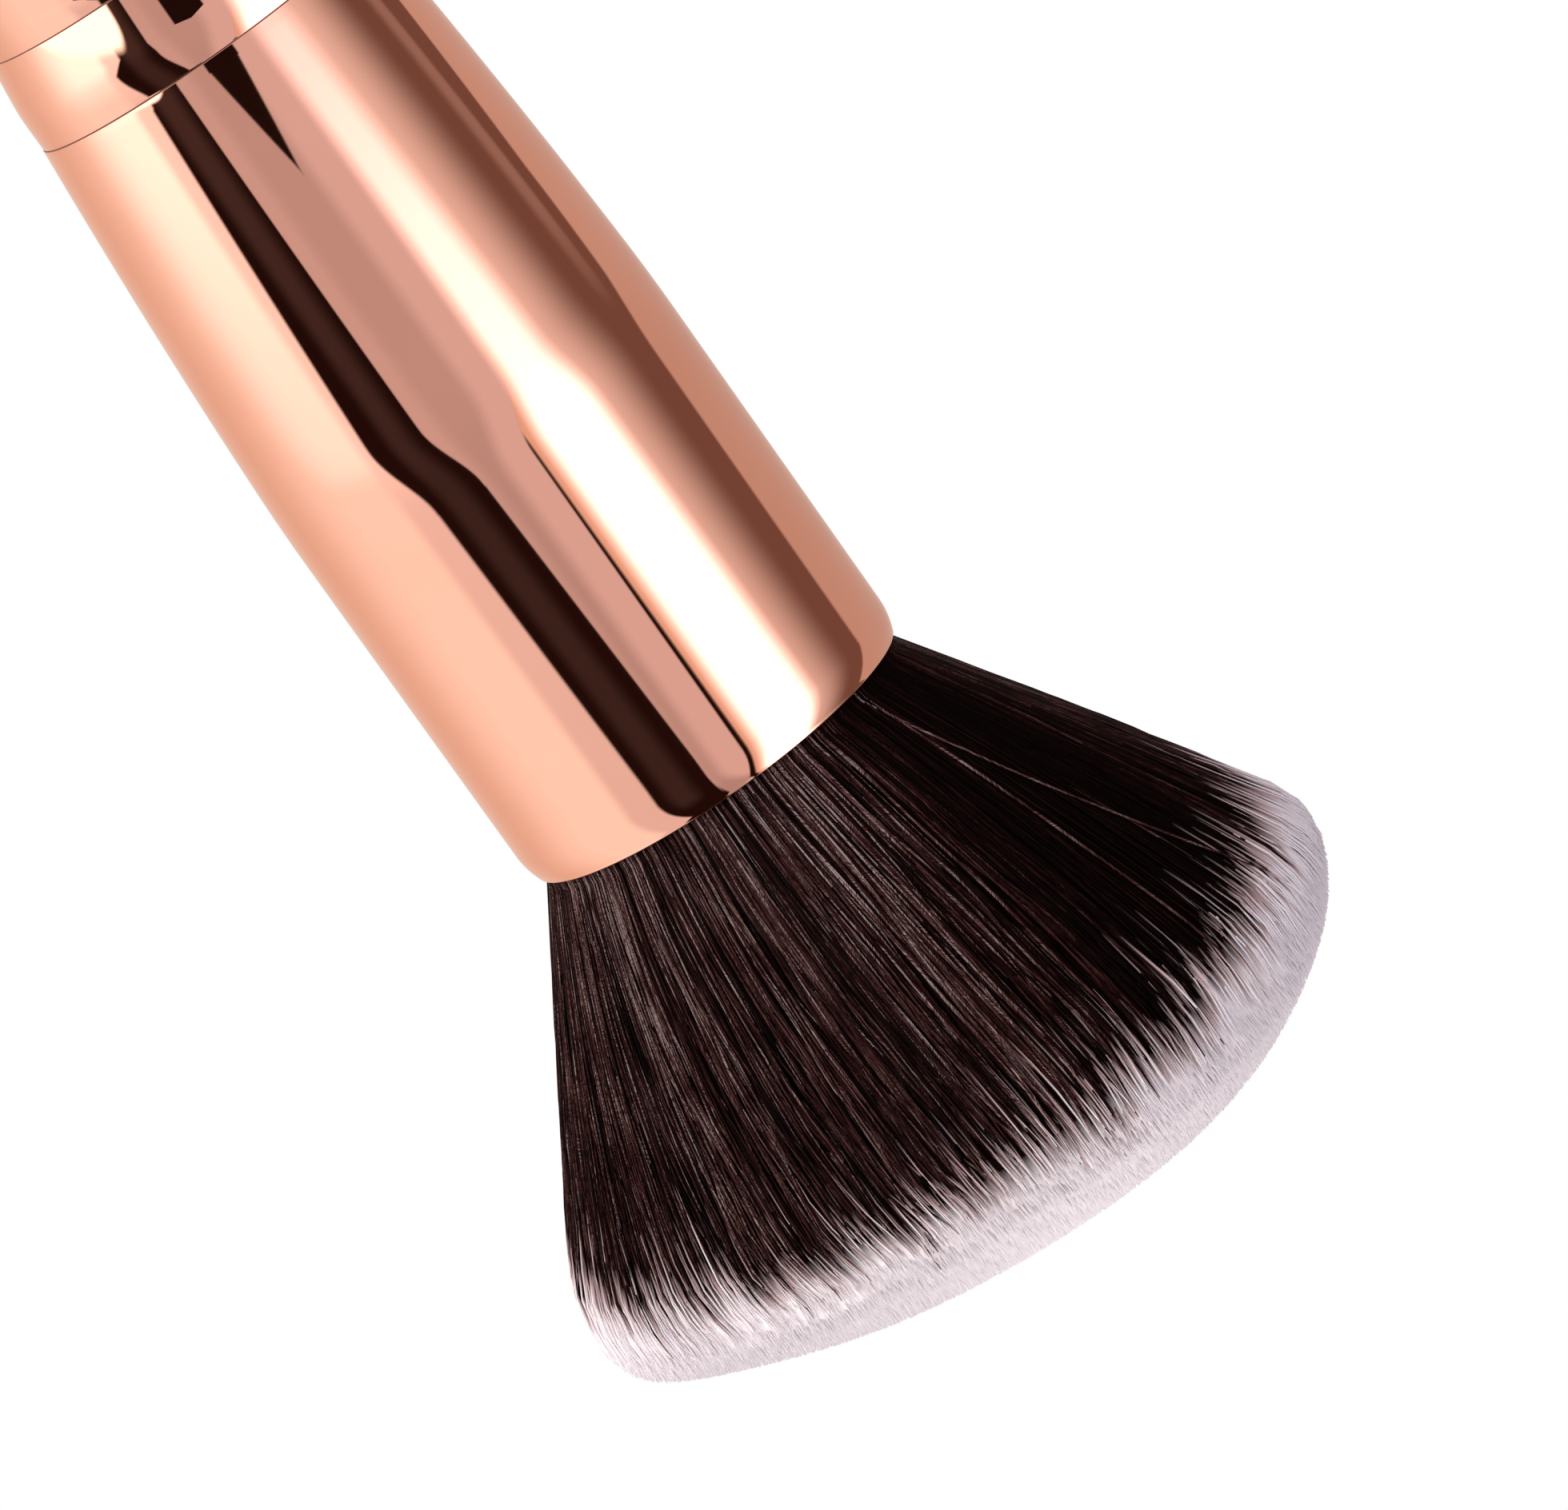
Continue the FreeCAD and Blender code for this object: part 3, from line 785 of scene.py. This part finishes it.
def sweepAngle(angle):
    turn, gather = bundle["combed"]
    return turn - gather * np.sin(2 * fromLens(angle))


def paintedSideLight(angle):
    # Painted light: filaments paler on the lit side of the head and darker on the shaded side
    places, values = zip(*bundle["sideLightPainted"])
    return np.interp(np.degrees(fromLens(angle)), places, values, period=360)


def growOuter(bundle, chance):
    count = bundle["outer"]
    power, top = bundle["shoulderClimb"]
    climb = chance.uniform(0, 1, count) ** power * math.radians(top)
    inner = headRadius - head["shoulderRound"]
    tipRadius = inner + head["shoulderRound"] * np.cos(climb)
    share = tipRadius / headRadius
    angle = chance.uniform(0, math.tau, count)
    centres = np.sort(chance.uniform(0, math.tau, bundle["clumps"]))
    nearest = (np.searchsorted(centres, angle) - chance.integers(0, 2, count)) % bundle["clumps"]
    gap = (centres[nearest] - angle + math.pi) % math.tau - math.pi
    clumpProud = chance.normal(0, bundle["proud"], bundle["clumps"])
    clumpBorder = chance.normal(0, bundle["clumpBorder"], bundle["clumps"])
    clumpTone = chance.uniform(*bundle["clumpTone"], bundle["clumps"])
    clumpPhase = chance.uniform(0, math.tau, bundle["clumps"])
    clumpWave = chance.uniform(*bundle["waveLength"], bundle["clumps"])
    border = borderHeight(share, angle) + clumpBorder[nearest]
    border = border + chance.normal(0, bundle["ownBorder"], count)
    sharp = chance.uniform(*bundle["sharp"], count)
    kind = chance.uniform(0, 1, count)
    pale = kind < bundle["paleShare"]
    sharp[pale] = chance.uniform(*bundle["paleSharp"], pale.sum())
    border[pale] -= chance.uniform(*bundle["paleBorder"], pale.sum())
    drift = chance.normal(0, bundle["drift"][0], count)
    loose = chance.uniform(0, 1, count) < bundle["looseShare"]
    drift[loose] = chance.normal(0, bundle["drift"][1], loose.sum())
    proud = clumpProud[nearest] - np.abs(chance.normal(0, bundle["sunk"], count))
    # painted light: the side of the head that the light falls on is made paler
    tone = clumpTone[nearest] * paintedSideLight(angle) * chance.uniform(0, 1, count) ** bundle["tonePower"]
    stray = chance.uniform(0, 1, count) < bundle["strayShare"]
    drift[stray] = chance.normal(0, bundle["stray"]["drift"], stray.sum())
    proud[stray] = bundle["stray"]["proud"]
    tone[stray] = chance.uniform(*bundle["stray"]["tone"], stray.sum())
    long = kind > 1 - bundle["longShare"]
    border[long] += chance.uniform(*bundle["longBorder"], long.sum())
    return {
        "angle": angle,
        "share": share,
        "root": np.full(count, mouthHeight - bundle["rootDepth"]),
        "tip": topHeight(tipRadius) - np.abs(chance.normal(0, bundle["uneven"], count)),
        "pull": bundle["pull"] * chance.uniform(*bundle["pullShare"], count)
                * np.clip(gap, -bundle["pullLimit"], bundle["pullLimit"]),
        "proud": proud,
        "drift": drift,
        "sweep": sweepAngle(angle),
        "sharp": sharp,
        "wave": np.abs(chance.normal(0, bundle["wave"], count)),
        "waveLength": clumpWave[nearest] * chance.uniform(*bundle["waveSpread"], count),
        "phase": clumpPhase[nearest] + chance.normal(0, bundle["phaseSpread"], count),
        "thick": chance.uniform(*bundle["thick"], count),
        "border": border,
        "tone": np.clip(tone, *bundle["toneLimits"]),
    }


def growDome(bundle, chance):
    count = bundle["dome"]
    tipRadius = (headRadius - bundle["domeInset"]) * np.sqrt(chance.uniform(0, 1, count))
    share = tipRadius / headRadius
    tip = topHeight(tipRadius) - np.abs(chance.normal(0, bundle["uneven"], count))
    angle = chance.uniform(0, math.tau, count)
    mean, spread, low, high = bundle["domeTone"]
    return {
        "angle": angle,
        "share": share,
        "root": tip - bundle["domeDepth"],
        "tip": tip,
        **{key: np.zeros(count) for key in ("pull", "proud", "drift")},
        "sweep": sweepAngle(angle),
        "sharp": np.ones(count),
        "wave": np.abs(chance.normal(0, bundle["domeWave"], count)),
        "waveLength": chance.uniform(*bundle["waveLength"], count),
        "phase": chance.uniform(0, math.tau, count),
        "thick": chance.uniform(*bundle["thick"], count),
        "border": borderHeight(share, angle) + chance.normal(0, bundle["ownBorder"], count),
        "tone": np.clip(chance.normal(mean, spread, count), low, high),
    }


def growHead(bundle):
    chance = np.random.default_rng(bundle["seed"])
    longOne = modelFilament(bundle["longSteps"])
    shortOne = modelFilament(bundle["shortSteps"])
    plans = (("outer", longOne, growOuter(bundle, chance)), ("dome", shortOne, growDome(bundle, chance)))
    for part, template, strands in plans:
        for turn in range(bundle["pieces"]):
            share = {key: values[turn::bundle["pieces"]] for key, values in strands.items()}
            piece = layFilaments(f"filaments_{part}_{turn + 1}", template, share)
            slot = "dark_filament" if part == "outer" else "white_filament"
            joinHead(piece, slot, "dark_bristles", "bristle_tips")


growHead(bundle)
print("filaments grown")

# Bed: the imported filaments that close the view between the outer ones, deep under the dark and close under
# the white
bed = {
    "deep": 0.95,              # share of the head's radius under the dark
    "close": 0.988,            # and under the white
    "closing": (104, 4),       # mm: where it starts to come closer, and over what height
    "drop": 0.55,              # mm under the cut tips
    "sides": 240,
    "fade": (-0.6, 0.9),       # mm over which the dye fades
    "streak": 0.4,             # mm between streaks
    "streakStretch": 0.05,
    "roughness": 0.6,
}


def makePackedFilament(bed):
    # The same filament in bulk: dull, with faint streaks along it
    material, tree = newMaterial("PBT filament, packed")
    coords = addNode(tree, "TexCoord")
    streaks = addNode(tree, "Mapping", {"Scale": (1, 1, bed["streakStretch"])}, {0: coords.outputs["Object"]})
    noise = addNode(tree, "TexNoise", {"Scale": 1 / (bed["streak"] * mm), "Detail": 2.0}, {0: streaks})
    dye = addNode(tree, "Attribute", {"attribute_name": "overDye"})
    fade = addNode(tree, "MapRange", {1: bed["fade"][0], 2: bed["fade"][1]}, {0: dye.outputs["Fac"]})
    dark = addNode(tree, "Mix", {"data_type": "RGBA", 6: linear(filament["darks"][0]),
                                 7: linear(filament["darks"][1])}, {0: noise})
    white = addNode(tree, "Mix", {"data_type": "RGBA", 6: linear(filament["whiteCool"]),
                                  7: linear(filament["white"])}, {0: noise})
    colour = addNode(tree, "Mix", {"data_type": "RGBA"},
                     {0: fade, 6: dark.outputs[2], 7: white.outputs[2]})
    coat(tree, {"Roughness": bed["roughness"], "Specular IOR Level": filament["specular"]},
         {"Base Color": colour.outputs[2]})
    return material


packedFilament = makePackedFilament(bed)


def dyeOver(piece, heights):
    layer = piece.data.attributes.new("overDye", "FLOAT", "POINT")
    layer.data.foreach_set("value", np.asarray(heights, np.float32))
    piece.data.materials.clear()
    piece.data.materials.append(packedFilament)


def cornerPlaces(piece):
    # Each corner's place in millimetres, how far it is from the axis and its angle round it
    spots = np.array([corner.co for corner in piece.data.vertices]) / mm
    return spots, np.hypot(spots[:, 0], spots[:, 1]), np.arctan2(spots[:, 1], spots[:, 0])


def moveCorners(piece, spots):
    piece.data.vertices.foreach_set("co", (spots * mm).astype(np.float32).ravel())


def makeBed(bed):
    low, run = bed["closing"]
    reach = bed["deep"] + (bed["close"] - bed["deep"]) * np.clip((sideLine[:, 1] - low) / run, 0, 1)
    side = list(zip(sideLine[:, 0] * reach, sideLine[:, 1]))
    side[0] = (side[0][0], mouthHeight - bundle["rootDepth"])
    top = [(radius * bed["close"], height - bed["drop"]) for radius, height in topLine]
    outline = [(0, mouthHeight - bundle["rootDepth"])] + side[:-1] + top
    piece = turnPiece("filament_bed", outline, bed["sides"])
    spots, out, angle = cornerPlaces(piece)
    share = np.clip(out / guideRadius(spots[:, 2]), 0, 1)
    dyeOver(piece, spots[:, 2] - borderHeight(share, angle))
    moveCorners(piece, leanHead(spots))
    joinHead(piece, "dark_filament", "dark_bristles", "bristle_tips")


makeBed(bed)
print("bed packed")

# Root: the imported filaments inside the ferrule, with the waist that the thread pulls in
rootBundle = {
    "slack": 0.15,             # mm inside the ferrule
    "foot": 0.35,              # mm narrower where the bundle starts
    "tied": 0.1,               # and just under the thread
    "ramps": (0.3, 0.4),       # mm over which it runs into its waist and out again
    "lipRamp": (2.0, 0.4),     # mm under the mouth where it narrows to pass the lip
    "lipInset": 0.2,
    "threadGap": 0.1,
    "flutes": 60,
    "fluteDepth": 0.08,
    "fluteFrom": 1.0,          # mm from the axis
    "overDye": -20,            # mm, so that all of it is dark
    "sides": 240,
}
threadWound = {"radius": 0.33, "turns": 4, "steps": 90, "sides": 12,
               "twist": 3.628,            # mm from one line between plies to the next
               "colours": ("#B9B2A2", "#E4DFD2"), "roughness": 0.85, "uneven": 1.5}


def packRoot(root):
    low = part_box("bristle_root")[0].z / mm
    tieLow, tieHigh = [corner.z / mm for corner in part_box("root_binding")]
    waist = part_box("root_binding")[1].x / mm - 2 * threadWound["radius"] - root["threadGap"]
    full = ferruleTube["radius"] - ferruleTube["wall"] - root["slack"]
    tight = full - ferruleTube["taper"] / 2
    neck = head["mouthRadius"] - root["lipInset"]
    rampIn, rampOut = root["ramps"]
    outline = [(0, low), (tight - root["foot"], low), (tight - root["tied"], tieLow - rampIn)]
    outline += [(waist, tieLow), (waist, tieHigh), (tight, tieHigh + rampOut)]
    outline += [(full, mouthHeight - ferruleTube["straight"]), (full, mouthHeight - root["lipRamp"][0])]
    outline += [(neck, mouthHeight - root["lipRamp"][1]), (neck, mouthHeight), (0, mouthHeight)]
    piece = turnPiece("filament_root", outline, root["sides"])
    spots, out, angle = cornerPlaces(piece)
    dent = root["fluteDepth"] * (1 + np.cos(root["flutes"] * angle)) / 2
    clear = root["fluteFrom"]
    spots[:, :2] *= (1 - np.where(out > clear, dent / np.maximum(out, clear), 0))[:, None]
    moveCorners(piece, spots)
    dyeOver(piece, np.full(len(spots), root["overDye"]))
    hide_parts("bristle_root")
    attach(piece, "handle")


packRoot(rootBundle)


def makeCottonThread(thread):
    # Cotton, spun and twisted: pale, with slanting darker lines painted as shade in the grooves between the
    # plies
    material, tree = newMaterial("cotton thread, twisted")
    coords = addNode(tree, "TexCoord")
    pace = 10 * math.sqrt(3)    # radians that a diagonal wave runs through in a unit's length
    plies = addNode(tree, "TexWave",
                    {"Scale": math.tau / (pace * thread["twist"] * mm), "Distortion": thread["uneven"],
                     "bands_direction": "DIAGONAL"}, {0: coords.outputs["Object"]})
    # the darker colour is painted shade in the grooves between the plies
    between, ply = thread["colours"]
    colour = addNode(tree, "Mix", {"data_type": "RGBA", 6: linear(between), 7: linear(ply)},
                     {0: plies.outputs[1]})
    coat(tree, {"Roughness": thread["roughness"]}, {"Base Color": colour.outputs[2]})
    return material


def windThread(thread):
    low, high = [corner.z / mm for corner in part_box("root_binding")]
    radius, sides = thread["radius"], thread["sides"]
    start = (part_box("root_binding")[1].x - radius * mm, 0, (low + radius) * mm)
    piece = startCircle("root_thread", vertices=sides, radius=radius * mm, location=start,
                        rotation=(math.pi / 2, 0, 0))
    coil = piece.modifiers.new("coil", "SCREW")
    coil.screw_offset = (high - low - 2 * radius) / thread["turns"] * mm
    coil.iterations = thread["turns"]
    coil.steps = coil.render_steps = thread["steps"]
    bpy.ops.object.modifier_apply(modifier=coil.name)
    bpy.ops.object.mode_set(mode="EDIT")
    finishShell(fillSides=sides)
    piece.data.materials.append(makeCottonThread(thread))
    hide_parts("root_binding")
    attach(piece, "handle")


windThread(threadWound)
print("root packed and tied")

# Core and glue keep their solids. Beech, turned, gives long grain in two browns, and epoxy, poured, amber
# clouds under a gloss.
innerWorks = {
    "handle_core": {"material": "beech, turned", "grain": 1.2, "stretch": 0.06, "detail": 4.0,
                    "colours": ("#B98F63", "#D9B78A"), "roughness": (0.65, 0.5)},
    "glue_plug": {"material": "epoxy, poured", "grain": 1.5, "stretch": 1.0, "detail": 3.0,
                  "colours": ("#B99A55", "#DCC58E"), "roughness": (0.1, 0.2)},
}


def dressInside(works):
    for name, inner in works.items():
        material, tree = newMaterial(inner["material"])
        coords = addNode(tree, "TexCoord")
        along = addNode(tree, "Mapping", {"Scale": (1, 1, inner["stretch"])},
                        {0: coords.outputs["Object"]})
        grain = addNode(tree, "TexNoise",
                        {"Scale": 1 / (inner["grain"] * mm), "Detail": inner["detail"]}, {0: along})
        deep, light = inner["colours"]
        colour = addNode(tree, "Mix", {"data_type": "RGBA", 6: linear(deep), 7: linear(light)},
                         {0: grain})
        rough = addNode(tree, "MapRange", {3: inner["roughness"][0], 4: inner["roughness"][1]},
                        {0: grain})
        coat(tree, {}, {"Base Color": colour.outputs[2], "Roughness": rough})
        nodes[name].data.materials.clear()
        nodes[name].data.materials.append(material)


dressInside(innerWorks)
print("inside dressed")

# The floor is a pale disc under the foot, out of the picture's frame
floorDisc = {"radius": 120, "drop": 0.05, "sides": 96, "colour": "#F2F0EE", "grain": 8,
             "roughness": (0.55, 0.65)}


def layFloor(disc):
    floor = startCircle("floorDisc", vertices=disc["sides"], radius=disc["radius"] * mm, fill_type="NGON",
                        location=(0, 0, -disc["drop"] * mm))
    # Board, painted matte: no glints, and a faint unevenness
    material, tree = newMaterial("pale painted board")
    coords = addNode(tree, "TexCoord")
    grain = addNode(tree, "TexNoise", {"Scale": 1 / (disc["grain"] * mm)}, {0: coords.outputs["Object"]})
    rough = addNode(tree, "MapRange", {3: disc["roughness"][0], 4: disc["roughness"][1]}, {0: grain})
    coat(tree, {"Base Color": linear(disc["colour"])}, {"Roughness": rough})
    floor.data.materials.append(material)


layFloor(floorDisc)
print("floor laid")
